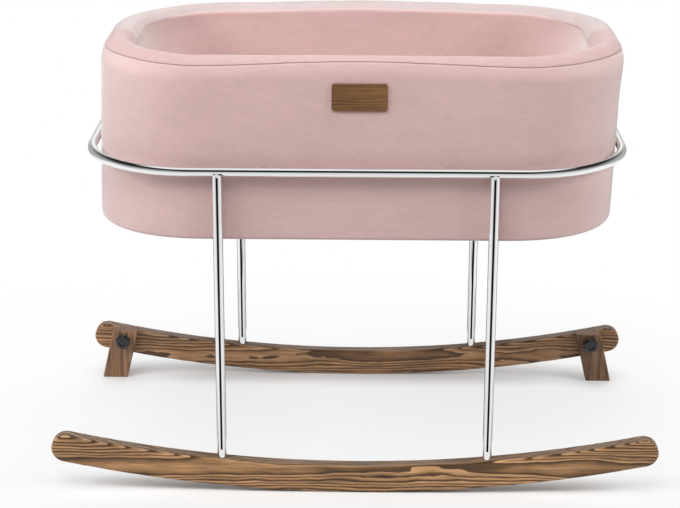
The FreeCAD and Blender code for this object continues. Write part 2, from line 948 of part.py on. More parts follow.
def turned_at_bolts(label, steps, coped=False):
    """A group of four round pieces on the fixings' axes. Each step has its inner distance from
    the middle, its length, its radius and the radius of its bore, if it has one."""
    body = new_body(label)
    features = []
    for inner, length, radius, bore in steps:
        section = new_sketch(body, "XZ_Plane", -inner)
        disc(section, (bolt_x, s.ring_height), radius)
        if bore is not None:
            disc(section, (bolt_x, s.ring_height), bore)
        features.append(pad(body, section, length, reverse=True))
    if coped:
        saddle = new_sketch(body, "YZ_Plane")
        disc(saddle, (half_width, s.ring_height), tube_radius + s.fit)
        features.append(pocket(body, saddle, (bolt_x + s.spacer_diameter) * 2, symmetric=True))
    all_quarters(body, *features)
    return body


def basket_fixings():
    """Bolts and washers inside the wall, saddle spacers outside it and bushes in the ring."""
    washer_inner = shell_inside - s.bolt_washer_thickness
    ring_inner = half_width - tube_radius
    head = (washer_inner - s.bolt_head_height, s.bolt_head_height, s.bolt_head / 2, None)
    shank = (washer_inner, ring_inner + s.bolt_reach - washer_inner, bolt_radius, None)
    bore = bolt_radius + s.clearance
    washer = (washer_inner, s.bolt_washer_thickness, s.bolt_washer_diameter / 2, bore)
    spacer = (shell_outside, half_width - shell_outside, s.spacer_diameter / 2, bore)
    setback = s.tube_diameter * NUT_SETBACK_SHARE / 2
    nut = (ring_inner + setback, s.ring_nut_length, s.ring_nut_diameter / 2, bolt_radius + s.fit)
    return [
        turned_at_bolts("basket_bolts", [head, shank]),
        turned_at_bolts("basket_washers", [washer]),
        turned_at_bolts("ring_spacers", [spacer], coped=True),
        turned_at_bolts("ring_bushes", [nut]),
    ]


pieces = [frame_ring()]
pieces += four_legs()
pieces += leg_fixings()
pieces += [rocker("rocker_front", -half_width, False), rocker("rocker_rear", half_width, True)]
pieces += stop_feet()
pieces += [basket_shell(), basket_base(), base_screws(), outer_cover(), dust_cover()]
pieces += [inner_liner(), rim_pad()]
pieces += [
    rim_cover("rim_cover_rear", 1, -s.rim_join_offset),
    rim_cover("rim_cover_front", -1, -(s.rim_join_offset + s.seam_gap)),
]
pieces += [mattress(), label_plate()]
pieces += basket_fixings()
doc.recompute()

# Nothing is written unless every object and every piece is sound
for item in doc.Objects:
    if "Invalid" in item.State or "Error" in item.State:
        raise RuntimeError("%s of the document failed: %s" % (item.Name, item.State))
for piece in pieces:
    if piece.Shape.isNull() or not piece.Shape.isValid() or not piece.Shape.Solids:
        raise RuntimeError("%s has no sound shape" % piece.Label)

os.makedirs("parts", exist_ok=True)
for piece in pieces:
    piece.Shape.exportStep(os.path.join("parts", piece.Label + ".step"))
    print("%-18s %2d solid(s) %10.0f mm3" % (piece.Label, len(piece.Shape.Solids), piece.Shape.Volume))
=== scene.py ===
import json
import math

import bmesh
import bpy
from mathutils import Matrix, Vector, noise


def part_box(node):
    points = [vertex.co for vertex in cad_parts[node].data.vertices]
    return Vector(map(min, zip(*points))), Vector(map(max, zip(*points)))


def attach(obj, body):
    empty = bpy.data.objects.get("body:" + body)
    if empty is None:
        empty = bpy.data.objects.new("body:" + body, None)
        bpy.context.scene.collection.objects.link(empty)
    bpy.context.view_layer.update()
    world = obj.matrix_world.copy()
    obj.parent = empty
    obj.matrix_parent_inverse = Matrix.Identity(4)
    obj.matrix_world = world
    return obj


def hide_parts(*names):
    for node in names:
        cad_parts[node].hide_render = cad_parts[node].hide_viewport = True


# A rocking cradle: a velvet basket in a chrome ring, on chrome legs and stained wooden rockers.
# Metres, +Z up, the floor at Z = 0, the front of the basket towards -Y.

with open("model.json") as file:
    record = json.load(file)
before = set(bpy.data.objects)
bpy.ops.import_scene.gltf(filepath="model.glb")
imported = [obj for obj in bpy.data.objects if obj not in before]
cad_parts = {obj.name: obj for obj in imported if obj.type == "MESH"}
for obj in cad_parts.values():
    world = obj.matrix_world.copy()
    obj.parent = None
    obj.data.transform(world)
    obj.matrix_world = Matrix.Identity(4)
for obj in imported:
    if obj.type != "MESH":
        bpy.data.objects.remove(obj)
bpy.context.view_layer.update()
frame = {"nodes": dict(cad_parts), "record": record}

MM = 0.001

# Places that the frame gives
cover_low, cover_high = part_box("outer_cover")
liner_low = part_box("inner_liner")[0]
mattress_low, mattress_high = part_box("mattress")
dust_low, dust_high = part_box("dust_cover")
rocker_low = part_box("rocker_front")[0]
foot_low, foot_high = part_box("stop_foot_right")
label_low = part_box("label_plate")[0]
HALF_LENGTH = cover_high.x
HALF_WIDTH = cover_high.y
BOTTOM = cover_low.z
SEAM = cover_high.z
DUST_INSET = HALF_LENGTH - dust_high.x

# The basket's plan, and the layers of its wall as depths from its face
CORNER = 190 * MM
COVER_DEPTH = 8 * MM
SHELL_DEPTH = 17 * MM
WALL_DEPTH = 54 * MM

# Points round the basket, and steps round a bend
STATIONS = 420
FOAM_STATIONS = 180
FLAT_STATIONS = 160
ROUND_STEPS = 8

# How the soft wall sits on its shell: it leans towards +X by a share of the height above a level,
# its right end flares near the rim, and its corners are drawn in at the rim and full at the bottom
LEAN = 0.030
LEAN_LEVEL = 498 * MM
FLARE = 4 * MM
FLARE_FROM = 640 * MM
CORNER_PULL = 7 * MM
PULL_FROM = 703 * MM
CORNER_FULL = 5 * MM
FULL_TO = 560 * MM

# The rim's outer seam rises amid the long sides, and its inner edge follows that less
SEAM_ARCH = 4.3 * MM
ARCH_MEAN = -1 * MM
ARCH_REACH = 300 * MM
LIP_FOLLOW = 0.7
LIP_DROP = 1 * MM

# Unevenness of the soft pieces, as height, wave length and seed
NOISE_GAIN = 1.6
SEAM_WAVE = (0.35 * MM, 30 * MM, 3.1)
LIP_WAVE = (0.4 * MM, 50 * MM, 7.7)
COVER_WAVE = (0.45 * MM, 90 * MM, 0.0)
LINER_WAVE = (0.6 * MM, 80 * MM, 9.0)
RIM_WAVE = (0.5 * MM, 70 * MM, 20.0)
PUCKER_WAVE = (0.35 * MM, 9 * MM, 31.0)


def smooth(value, low, high):
    """0 below low, 1 above high, and a smooth step between."""
    share = min(1.0, max(0.0, (value - low) / (high - low)))
    return share * share * (3 - 2 * share)


def between(first, last, share):
    return first * (1 - share) + last * share


def quarter_turn(steps):
    """Angles from 0 to a right angle."""
    return [math.pi / 2 * step / steps for step in range(steps + 1)]


# Meshes


def new_piece(name, points, faces):
    """A smooth mesh object with its faces turned outwards."""
    data = bpy.data.meshes.new(name)
    data.from_pydata(points, [], faces)
    mesh = bmesh.new()
    mesh.from_mesh(data)
    bmesh.ops.recalc_face_normals(mesh, faces=mesh.faces)
    mesh.to_mesh(data)
    mesh.free()
    data.polygons.foreach_set("use_smooth", [True] * len(data.polygons))
    piece = bpy.data.objects.new(name, data)
    bpy.context.scene.collection.objects.link(piece)
    return piece


def loft(name, loops, closed):
    """A mesh through closed loops of points. It joins up with itself if closed, and otherwise
    has a cap at each end."""
    count = len(loops[0])
    points = [point for loop in loops for point in loop]
    faces = []
    for row in range(len(loops) if closed else len(loops) - 1):
        here = row * count
        there = (row + 1) % len(loops) * count
        for number in range(count):
            after = (number + 1) % count
            faces.append((here + number, here + after, there + after, there + number))
    if not closed:
        faces.append(tuple(range(count)))
        faces.append(tuple(range(len(points) - count, len(points))))
    return new_piece(name, points, faces)


class Oval:
    """The basket's plan, a rounded rectangle. Distances along it start at the middle of the
    front and run towards +X."""

    def __init__(self, half_length, half_width, corner):
        self.half_length = half_length
        self.half_width = half_width
        self.corner = corner
        self.front = half_length - corner
        self.side = half_width - corner
        self.bend = corner * math.pi / 2
        self.quarter = self.front + self.bend + self.side
        self.length = 4 * self.quarter

    def at(self, distance):
        """The place on the oval and the outward direction there."""
        turns, rest = divmod(distance % self.length, self.quarter)
        if turns in (1, 3):
            rest = self.quarter - rest
        if rest <= self.front:
            place, out = Vector((rest, -self.half_width)), Vector((0, -1))
        elif rest <= self.front + self.bend:
            angle = (rest - self.front) / self.corner
            out = Vector((math.sin(angle), -math.cos(angle)))
            place = Vector((self.front, -self.side)) + out * self.corner
        else:
            place, out = Vector((self.half_length, rest - self.quarter)), Vector((1, 0))
        mirror = Vector((-1 if turns in (2, 3) else 1, -1 if turns in (1, 2) else 1))
        return place * mirror, out * mirror


basket = Oval(HALF_LENGTH, HALF_WIDTH, CORNER)


def on_oval(distance, inset, height):
    """A point at that depth inside the oval and that height."""
    place, out = basket.at(distance)
    flat = place - out * inset
    return Vector((flat.x, flat.y, height))


def on_basket(distance, inset, height):
    """The same point, moved as the soft wall sits."""
    _, out = basket.at(distance)
    corner = (2 * out.x * out.y) ** 2
    pull = CORNER_PULL * smooth(height, PULL_FROM, SEAM) - CORNER_FULL * (1 - smooth(height, BOTTOM, FULL_TO))
    point = on_oval(distance, inset + corner * pull, height)
    flare = FLARE * smooth(height, FLARE_FROM, SEAM) * smooth(point.x, 0, HALF_LENGTH)
    return point + Vector((LEAN * (height - LEAN_LEVEL) + flare, 0, 0))


def stations(count):
    """Distances evenly round the oval."""
    return [number * basket.length / count for number in range(count)]


def ripple(distance, wave, shift=0.0):
    """An uneven wave along the oval that closes on itself. Another shift gives another wave."""
    height, length, seed = wave
    angle = distance / basket.length * 2 * math.pi
    reach = basket.length / (2 * math.pi) / length
    place = (reach * math.cos(angle), reach * math.sin(angle), seed + shift)
    return height * (NOISE_GAIN * noise.noise(place))


def arch(distance):
    """How far the seam stands above its mean height: up amid the long sides and down at the ends."""
    place, _ = basket.at(distance)
    return SEAM_ARCH * math.cos(math.pi * min(1.0, abs(place.x) / ARCH_REACH)) + ARCH_MEAN


def seam_height(distance):
    return SEAM + arch(distance) + ripple(distance, SEAM_WAVE)


def lip_height(distance):
    """Height of the rim's inner edge."""
    return SEAM + LIP_FOLLOW * arch(distance) - LIP_DROP + ripple(distance, LIP_WAVE)


def swept(name, section_at, count):
    """A piece all round the basket. Its section is a list of (inset, height) pairs."""
    loops = [[on_basket(d, inset, height) for inset, height in section_at(d)] for d in stations(count)]
    return loft(name, loops, closed=True)


# Outer cover: a tuck under the rim, the shoulder, the wall, and the hem turned under the base

TUCK_DEPTH = 2.5 * MM
TUCK_DROP = 4 * MM
SHOULDER_HEIGHT = 26 * MM
SHOULDER_DEPTH = 6.5 * MM
SHOULDER_CURVE = 2.2
SHOULDER_DROP = 1 * MM
SHOULDER_STEPS = 9
WALL_STEPS = 22
WALL_SWELL = 0.6 * MM
SLACK_SLANT = 0.11
SLACK_CHANGE = 4
BOTTOM_ROUND = 6 * MM
HEM = 46 * MM
HEM_EDGE = 2 * MM
HEM_LIFT = 0.4 * MM
HEM_TURN = 3 * MM
COVER_BACK = COVER_DEPTH - 1 * MM
COVER_TOP = COVER_DEPTH + 3 * MM
COVER_TOP_DROP = 5 * MM


def cover_section(distance):
    """The outer cover's section: from the seam over the shoulder, down the wall and under the base,
    then back up inside."""
    seam = seam_height(distance)
    shoulder = seam - SHOULDER_HEIGHT
    bend = BOTTOM + BOTTOM_ROUND
    wall = shoulder - bend
    section = [(SHOULDER_DEPTH + TUCK_DEPTH, seam - TUCK_DROP)]
    for step in range(SHOULDER_STEPS + 1):
        up = 1 - step / SHOULDER_STEPS
        height = shoulder + SHOULDER_HEIGHT * up - SHOULDER_DROP
        section.append((SHOULDER_DEPTH * up ** SHOULDER_CURVE, height))
    for step in range(1, WALL_STEPS):
        share = step / WALL_STEPS
        belly = math.sin(math.pi * share)
        slack = ripple(distance + SLACK_SLANT * share, COVER_WAVE, SLACK_CHANGE * share)
        section.append((-WALL_SWELL * belly - slack * belly, shoulder - wall * share))
    for angle in quarter_turn(ROUND_STEPS):
        inset = BOTTOM_ROUND * (1 - math.cos(angle))
        section.append((inset, bend - BOTTOM_ROUND * math.sin(angle)))
    section += [
        (between(BOTTOM_ROUND, HEM, 0.5), BOTTOM + HEM_LIFT / 2),
        (HEM - HEM_EDGE, BOTTOM + HEM_LIFT),
        (HEM, BOTTOM + HEM_TURN),
        (HEM, BOTTOM + COVER_DEPTH),
        (COVER_BACK, BOTTOM + COVER_DEPTH),
        (COVER_BACK, shoulder),
        (COVER_TOP, seam - COVER_TOP_DROP),
    ]
    return section


def outer_cover():
    return swept("velvet_cover", cover_section, STATIONS)


# Lining: a padded face that lies flat behind the mattress, a rounded top and a plain back

LINER_STEPS = 16
LINER_PUFF = 2.2 * MM
LINER_FREE = 60 * MM
LINER_BACK = SHELL_DEPTH + 0.3 * MM
LINER_BACK_DROP = 5 * MM
LIP_ROUND = 6 * MM
LIP_SLOPE = 2 * MM


def liner_section(distance):
    """The lining's section: up its face, over its rounded top and down its back."""
    lip = lip_height(distance)
    top = lip - LIP_ROUND - LIP_SLOPE
    section = []
    for step in range(LINER_STEPS + 1):
        share = step / LINER_STEPS
        height = between(liner_low.z, top, share)
        clear = smooth(height, mattress_high.z, mattress_high.z + LINER_FREE)
        puff = LINER_PUFF * math.sin(math.pi * share) + ripple(distance, LINER_WAVE, share)
        section.append((WALL_DEPTH + clear * puff, height))
    for angle in quarter_turn(ROUND_STEPS):
        inset = WALL_DEPTH - LIP_ROUND + LIP_ROUND * math.cos(angle)
        section.append((inset, lip - LIP_ROUND + LIP_ROUND * math.sin(angle)))
    section += [
        (WALL_DEPTH - 2 * LIP_ROUND, lip - LIP_SLOPE),
        (LINER_BACK, lip - LINER_BACK_DROP),
        (LINER_BACK, liner_low.z),
    ]
    return section


def inner_liner():
    return swept("velvet_liner", liner_section, STATIONS)


# Rim covers. Their end seams are given as distances forward of the middle of each end, and hook
# forward on the inner side, from a share of the rim's width. Loops lie closer towards these seams.

LEFT_SEAM = 6 * MM
LEFT_HOOK = 40 * MM
LEFT_HOOK_FROM = 0.55
LEFT_HOOK_CURVE = 2
RIGHT_SEAM = -8 * MM
RIGHT_HOOK = 40 * MM
RIGHT_HOOK_FROM = 0.65
RIGHT_HOOK_CURVE = 2.5
RIM_ENDS = [0, 1.2 * MM, 2.6 * MM, 4.4 * MM, 6.8 * MM, 10 * MM, 14 * MM, 19 * MM, 25 * MM]
RIM_SPACING = 6 * MM
RIM_STEPS = 18
RIM_CURVE = 2.5
RIM_OUTER = SHOULDER_DEPTH - 0.5 * MM
RIM_INNER = WALL_DEPTH - 2 * MM
RIM_INNER_DROP = 3.5 * MM
RIM_LEAST = 0.4 * MM
RIM_UNDER = 0.5 * MM
END_WIDTH = 5 * MM
END_CURVE = 4
PUCKER_WIDTH = 0.2
DIP_REACH = 7 * MM
HOOK_DIP_REACH = 26 * MM
HOOK_DIP_FROM = 0.35
HOOK_DIP_FULL = 0.95
REAR_GAP = 0.4 * MM


def hooked(across, start, curve):
    """How far a seam has hooked, from 0 to 1, at that share of the rim's width from outside."""
    return (max(0.0, across - start) / (1 - start)) ** curve


def left_seam(across):
    """Where the rim's left seam lies along the oval, at that share of the rim's width."""
    hook = LEFT_HOOK * hooked(across, LEFT_HOOK_FROM, LEFT_HOOK_CURVE)
    return -(basket.quarter - LEFT_SEAM - hook)


def right_seam(across):
    hook = RIGHT_HOOK * hooked(across, RIGHT_HOOK_FROM, RIGHT_HOOK_CURVE)
    return basket.quarter - RIGHT_SEAM - hook


def rear_start(across):
    return right_seam(across) + REAR_GAP


def rear_stop(across):
    return left_seam(across) + basket.length - REAR_GAP


def rim_stops(span):
    """Where the loops lie along a rim cover of that length."""
    last = RIM_ENDS[-1]
    count = int(span / RIM_SPACING)
    middle = [between(last, span - last, number / count) for number in range(1, count)]
    return RIM_ENDS + middle + [span - end for end in reversed(RIM_ENDS)]


def rim_sink(to_end, across, dip, hook_dip):
    """How far a rim cover sinks that near to an end: by dip, and by hook_dip more on the inner side."""
    sink = dip * (1 - smooth(to_end, 0, DIP_REACH))
    inner_side = smooth(across, HOOK_DIP_FROM, HOOK_DIP_FULL)
    return sink + hook_dip * (1 - smooth(to_end, 0, HOOK_DIP_REACH)) * inner_side


def rim_loops(start, stop, crown, fall, dip, hook_dip):
    """Loops of a rim cover from one end seam to the other. Its crown stands above the seam, less a
    share, fall, of how far the seam arches up there."""
    span = stop(0.5) - start(0.5)
    loops = []
    for along in rim_stops(span):
        to_end = min(along, span - along)
        top, base = [], []
        for step in range(RIM_STEPS + 1):
            across = step / RIM_STEPS
            distance = between(start(across), stop(across), along / span)
            low = between(seam_height(distance), lip_height(distance) - RIM_INNER_DROP, across)
            rise = (crown - fall * arch(distance)) * (1 - abs(2 * across - 1) ** RIM_CURVE)
            puff = ripple(distance, RIM_WAVE, across) * math.sin(math.pi * across)
            pucker = ripple(distance, PUCKER_WAVE) * (1 - smooth(across, 0.0, PUCKER_WIDTH))
            sink = rim_sink(to_end, across, dip, hook_dip)
            height = low + max(RIM_LEAST, rise + puff + pucker - sink)
            _, out = basket.at(distance)
            inset = between(RIM_OUTER, RIM_INNER + END_WIDTH * out.x ** END_CURVE, across)
            top.append(on_basket(distance, inset, height))
            base.append(on_basket(distance, inset, low - RIM_UNDER))
        loops.append(top + base[::-1])
    return loops


def rim_cover_front():
    loops = rim_loops(left_seam, right_seam, crown=9.6 * MM, fall=0.74, dip=3.0 * MM, hook_dip=4.0 * MM)
    return loft("velvet_rim_front", loops, closed=False)


def rim_cover_rear():
    loops = rim_loops(rear_start, rear_stop, crown=10.8 * MM, fall=0.27, dip=2.2 * MM, hook_dip=0.0)
    return loft("velvet_rim_rear", loops, closed=False)


# Foam ring under the rim covers

FOAM_INNER = WALL_DEPTH - 14 * MM
FOAM_CROWN = 3 * MM
FOAM_SINK = 1 * MM
FOAM_DEPTH = 4 * MM
FOAM_STEPS = 8


def foam_section(distance):
    """The foam's section: its crowned top and its flat underside."""
    low = SEAM + arch(distance)
    section = []
    for step in range(FOAM_STEPS + 1):
        across = step / FOAM_STEPS
        height = low + FOAM_CROWN * math.sin(math.pi * across) - FOAM_SINK
        section.append((between(SHELL_DEPTH, FOAM_INNER, across), height))
    section.append((FOAM_INNER, low - FOAM_DEPTH))
    section.append((SHELL_DEPTH, low - FOAM_DEPTH))
    return section


def rim_foam():
    return swept("rim_foam", foam_section, FOAM_STATIONS)


# Mattress. Height is left for its crown and for its swelling, and its innermost loop keeps a
# corner of some radius.

MATTRESS_INSET = WALL_DEPTH + 5 * MM
MATTRESS_EDGE = 11 * MM
MATTRESS_SPARE = 14 * MM
MATTRESS_CROWN = 9 * MM
MATTRESS_HOLLOW = 1 * MM
LEAST_CORNER = 12 * MM
EDGE_STEPS = 4
CROWN_STEPS = 5
PUFF_VOXEL = 7 * MM
PUFF_PRESSURE = 4
PUFF_LIMIT = 4 * MM
PUFF_FRAMES = 20


def mattress_loops():
    """Oval loops up the mattress: out along its underside, up its side and in over its crowned top."""
    low = mattress_low.z
    edge = MATTRESS_EDGE
    top = low + (mattress_high.z - low - MATTRESS_SPARE)
    inner = CORNER - MATTRESS_INSET - LEAST_CORNER
    levels = [(inner, low + MATTRESS_HOLLOW), (inner / 2, low + MATTRESS_HOLLOW), (edge, low)]
    for angle in quarter_turn(EDGE_STEPS)[1:]:
        levels.append((edge * (1 - math.sin(angle)), low + edge * (1 - math.cos(angle))))
    for angle in quarter_turn(EDGE_STEPS):
        levels.append((edge * (1 - math.cos(angle)), top - edge + edge * math.sin(angle)))
    for step, angle in enumerate(quarter_turn(CROWN_STEPS)[1:], 1):
        levels.append((between(edge, inner, step / CROWN_STEPS), top + MATTRESS_CROWN * math.sin(angle)))
    places = stations(FLAT_STATIONS)
    return [[on_oval(d, MATTRESS_INSET + depth, height) for d in places] for depth, height in levels]


def remeshed(piece):
    """Gives a closed form even faces."""
    remesh = piece.modifiers.new("remesh", "REMESH")
    remesh.mode = "VOXEL"
    remesh.voxel_size = PUFF_VOXEL
    remesh.use_smooth_shade = True
    bpy.ops.object.modifier_apply(modifier=remesh.name)


def puffed(piece):
    """Lets a closed form swell as cloth under pressure, and keeps the result with no point moved by
    more than a limit."""
    for other in bpy.context.selected_objects:
        other.select_set(False)
    bpy.context.view_layer.objects.active = piece
    piece.select_set(True)
    remeshed(piece)
    rest = [vertex.co.copy() for vertex in piece.data.vertices]
    cloth = piece.modifiers.new("cloth", "CLOTH")
    cloth.settings.use_pressure = True
    cloth.settings.uniform_pressure_force = PUFF_PRESSURE
    cloth.settings.effector_weights.gravity = 0
    cloth.point_cache.frame_start = 1
    cloth.point_cache.frame_end = PUFF_FRAMES
    scene = bpy.context.scene
    for number in range(1, PUFF_FRAMES + 1):
        scene.frame_set(number)
    bpy.ops.object.modifier_apply(modifier=cloth.name)
    for vertex, start in zip(piece.data.vertices, rest):
        move = vertex.co - start
        if move.length > PUFF_LIMIT:
            vertex.co = start + move * (PUFF_LIMIT / move.length)
    scene.frame_set(1)
    piece.data.polygons.foreach_set("use_smooth", [True] * len(piece.data.polygons))


def mattress():
    piece = loft("mattress_cover", mattress_loops(), closed=False)
    puffed(piece)
    return piece


# Dust cloth, as rings that are shares of its outline

DUST_RINGS = [1.0, 0.92, 0.8, 0.62, 0.42, 0.22]
DUST_SAG = 0.5 * MM
DUST_WAVES = 14


def dust_cloth():
    """The thin cloth that closes the underside, with a slight uneven sag."""
    outer = [on_oval(d, DUST_INSET, dust_low.z) for d in stations(FLAT_STATIONS)]
    loops = []
    for share in DUST_RINGS[::-1]:
        loops.append([Vector((p.x * share, p.y * share, dust_high.z)) for p in outer])
    for share in DUST_RINGS:
        loop = []
        for point in outer:
            flat = Vector((point.x * share, point.y * share, 0))
            sag = DUST_SAG * (1 + noise.noise(flat * DUST_WAVES)) * (1 - share)
            loop.append(Vector((flat.x, flat.y, dust_low.z - sag)))
        loops.append(loop)
    return loft("dust_cloth", loops, closed=False)


# Materials


class Nodes:
    """Builds a node tree. A socket that is given as an input is linked, and anything else is set."""

    def __init__(self, tree):
        self.tree = tree

    def feed(self, socket, value):
        if isinstance(value, bpy.types.NodeSocket):
            self.tree.links.new(value, socket)
        else:
            socket.default_value = value

    def node(self, kind, inputs, **settings):
        made = self.tree.nodes.new("ShaderNode" + kind)
        for key, value in settings.items():
            setattr(made, key, value)
        for key, value in inputs.items():
            self.feed(made.inputs[key], value)
        return made

    def place(self):
        """The point on the piece, in the frame's metres."""
        return self.node("TexCoord", {}).outputs["Object"]

    def parts(self, vector):
        """The X, Y and Z outputs of a vector."""
        return self.node("SeparateXYZ", {"Vector": vector}).outputs

    def moved(self, place, scale=(1, 1, 1), shift=(0, 0, 0)):
        inputs = {"Vector": place, "Scale": scale, "Location": shift}
        return self.node("Mapping", inputs).outputs["Vector"]

    def noise(self, place, scale, detail=2.0, roughness=0.5):
        inputs = {"Vector": place, "Scale": scale, "Detail": detail, "Roughness": roughness}
        return self.node("TexNoise", inputs).outputs

    def streaks(self, place, scale, shift=(0, 0, 0), detail=2.0, roughness=0.5):
        """Noise with a scale of its own along each axis."""
        return self.noise(self.moved(place, scale, shift), 1.0, detail, roughness)

    def math(self, operation, first, second=0.0):
        return self.node("Math", {0: first, 1: second}, operation=operation).outputs[0]

    def vector(self, operation, first, second=(0, 0, 0)):
        made = self.node("VectorMath", {0: first, 1: second}, operation=operation)
        return made.outputs["Value" if operation == "LENGTH" else "Vector"]

    def spread(self, value, low, high, to_low=0.0, to_high=1.0):
        """Maps low..high to to_low..to_high, clamped."""
        inputs = {"Value": value, "From Min": low, "From Max": high, "To Min": to_low, "To Max": to_high}
        return self.node("MapRange", inputs).outputs["Result"]

    def ramp(self, factor, stops):
        """Colours along a factor, from (position, colour) pairs."""
        made = self.node("ValToRGB", {"Fac": factor})
        elements = made.color_ramp.elements
        while len(elements) < len(stops):
            elements.new(1.0)
        for element, (position, colour) in zip(elements, stops):
            element.position = position
            element.color = (*colour, 1.0)
        return made.outputs["Color"]

    def greys(self, factor, stops):
        """Greys along a factor, from (position, value) pairs."""
        return self.ramp(factor, [(position, (value, value, value)) for position, value in stops])

    def mix(self, factor, first, second, blend="MIX"):
        inputs = {0: factor, 6: first, 7: second}
        return self.node("Mix", inputs, data_type="RGBA", blend_type=blend).outputs[2]

    def times(self, first, second):
        """Two colours multiplied."""
        return self.mix(1.0, first, second, "MULTIPLY")

    def bump(self, height, depth):
        return self.node("Bump", {"Height": height, "Distance": depth}).outputs["Normal"]


class Shader(Nodes):
    """One node material with a principled surface."""

    def __init__(self, name):
        self.material = bpy.data.materials.new(name)
        self.material.use_nodes = True
        super().__init__(self.material.node_tree)
        self.surface = self.tree.nodes["Principled BSDF"]

    def finish(self, **sockets):
        for key, value in sockets.items():
            self.feed(self.surface.inputs[key.replace("_", " ")], value)
        return self.material


def grey(value):
    return (value, value, value, 1.0)


CHROME_COLOUR = (0.87, 0.875, 0.88, 1)
STEEL_DARK = (0.50, 0.50, 0.51, 1)
STEEL_LIGHT = (0.64, 0.64, 0.65, 1)
PLASTIC_DARK = (0.018, 0.018, 0.023, 1)
PLASTIC_LIGHT = (0.034, 0.034, 0.041, 1)
PLASTIC_GRAIN = 0.03 * MM
PLY_DARK = (0.58, 0.42, 0.26, 1)
PLY_LIGHT = (0.72, 0.56, 0.38, 1)
PLY_GRAIN = 0.1 * MM
FOAM_DARK = (0.62, 0.57, 0.44, 1)
FOAM_LIGHT = (0.86, 0.82, 0.70, 1)
FOAM_CELLS = 700
FOAM_RELIEF = 0.4 * MM


def chrome():
    """Polished chrome with faint wipe marks."""
    m = Shader("chrome")
    wipe = m.streaks(m.place(), scale=(60, 60, 14), detail=3.0)["Fac"]
    gloss = m.spread(wipe, 0.3, 0.8, to_low=0.03, to_high=0.075)
    return m.finish(Base_Color=CHROME_COLOUR, Metallic=1.0, Roughness=gloss)


def steel():
    """Zinc-plated steel of the fixings."""
    m = Shader("plated_steel")
    grain = m.noise(m.place(), scale=900, detail=3.0)["Fac"]
    colour = m.mix(grain, STEEL_DARK, STEEL_LIGHT)
    gloss = m.spread(grain, 0.3, 0.7, to_low=0.28, to_high=0.42)
    return m.finish(Base_Color=colour, Metallic=1.0, Roughness=gloss)


def black_plastic():
    """Moulded black plastic with a fine spark-eroded grain."""
    m = Shader("moulded_plastic")
    place = m.place()
    grain = m.noise(place, scale=1600)["Fac"]
    scuff = m.noise(place, scale=140, detail=4.0)["Fac"]
    colour = m.mix(scuff, PLASTIC_DARK, PLASTIC_LIGHT)
    gloss = m.spread(scuff, 0.3, 0.7, to_low=0.24, to_high=0.36)
    return m.finish(Base_Color=colour, Roughness=gloss, Normal=m.bump(grain, PLASTIC_GRAIN))


def plywood():
    """Birch plywood with its grain along X."""
    m = Shader("plywood")
    grain = m.streaks(m.place(), scale=(12, 160, 160), detail=3.0)["Fac"]
    colour = m.mix(grain, PLY_DARK, PLY_LIGHT)
    return m.finish(Base_Color=colour, Roughness=0.65, Normal=m.bump(grain, PLY_GRAIN))


def foam():
    """Open-cell upholstery foam."""
    m = Shader("foam")
    cells = m.node("TexVoronoi", {"Vector": m.place(), "Scale": FOAM_CELLS}).outputs["Distance"]
    colour = m.mix(cells, FOAM_DARK, FOAM_LIGHT)
    return m.finish(Base_Color=colour, Roughness=0.95, Normal=m.bump(cells, FOAM_RELIEF))


# Stained softwood. The tones run through a year's ring, from early wood to dark late wood and back.

WOOD_TONES = [
    (0.00, (0.61, 0.350, 0.172)),
    (0.34, (0.54, 0.296, 0.136)),
    (0.58, (0.345, 0.182, 0.076)),
    (0.72, (0.130, 0.064, 0.021)),
    (0.82, (0.080, 0.038, 0.012)),
    (0.955, (0.085, 0.041, 0.014)),
    (1.00, (0.47, 0.258, 0.114)),
]
REAR_TONES = [
    (0.00, (0.66, 0.385, 0.205)),
    (0.34, (0.55, 0.305, 0.152)),
    (0.60, (0.36, 0.188, 0.090)),
    (0.74, (0.170, 0.085, 0.038)),
    (0.83, (0.115, 0.057, 0.025)),
    (0.955, (0.120, 0.060, 0.027)),
    (1.00, (0.46, 0.255, 0.130)),
]
FOOT_TONES = [
    (0.00, (0.35, 0.205, 0.115)),
    (0.40, (0.30, 0.168, 0.092)),
    (0.70, (0.21, 0.112, 0.060)),
    (0.85, (0.145, 0.076, 0.041)),
    (1.00, (0.32, 0.185, 0.102)),
]
PLATE_TONES = [
    (0.00, (0.260, 0.124, 0.037)),
    (0.45, (0.220, 0.102, 0.031)),
    (0.75, (0.146, 0.067, 0.020)),
    (0.90, (0.106, 0.048, 0.014)),
    (1.00, (0.233, 0.111, 0.035)),
]
# Faces that turn up are multiplied by these: a painted shade with a grey painted sheen, milder on the feet.
UPTURN_PAINTED_SHADE = (0.60, 0.70, 0.92)
FOOT_UPTURN_PAINTED_SHADE = (0.78, 0.74, 0.72)
FIBRE_GREYS = [(0.3, 0.70), (0.7, 1.24)]
STREAK_GREYS = [(0.32, 0.62), (0.56, 1.08)]
CLOUD_GREYS = [(0.3, 0.74), (0.7, 1.14)]
HALF_GREY = (0.5, 0.5, 0.5)
RING = 3.8 * MM
SLOW_WAVER = 17 * MM
QUICK_WAVER = 4 * MM
SPACING_WAVES = 0.34
SPACING_YEARS = 2.4
# The slope over which faces that turn up take the painted shade and sheen.
UPWARD = (0.55, 0.95)
LATE_WOOD = (0.5, 0.85)
EARLY_ROUGH = 0.56
LATE_ROUGH = 0.44
FIBRE_RELIEF = 0.7
WOOD_RELIEF = 0.18 * MM


class Grain:
    """The length of a board, and the two directions across it."""

    def __init__(self, along):
        self.along = along
        self.across = Vector((1, 1, 1)) - along

    def scale(self, across, along):
        """A scale for each axis, from one across the board and one along it."""
        return self.across * across + self.along * along


def waver(m, place, scale, shift, reach):
    """A wandering offset within that reach."""
    drift = m.streaks(place, scale, shift)["Color"]
    return m.vector("MULTIPLY", m.vector("SUBTRACT", drift, HALF_GREY), (reach, reach, reach))


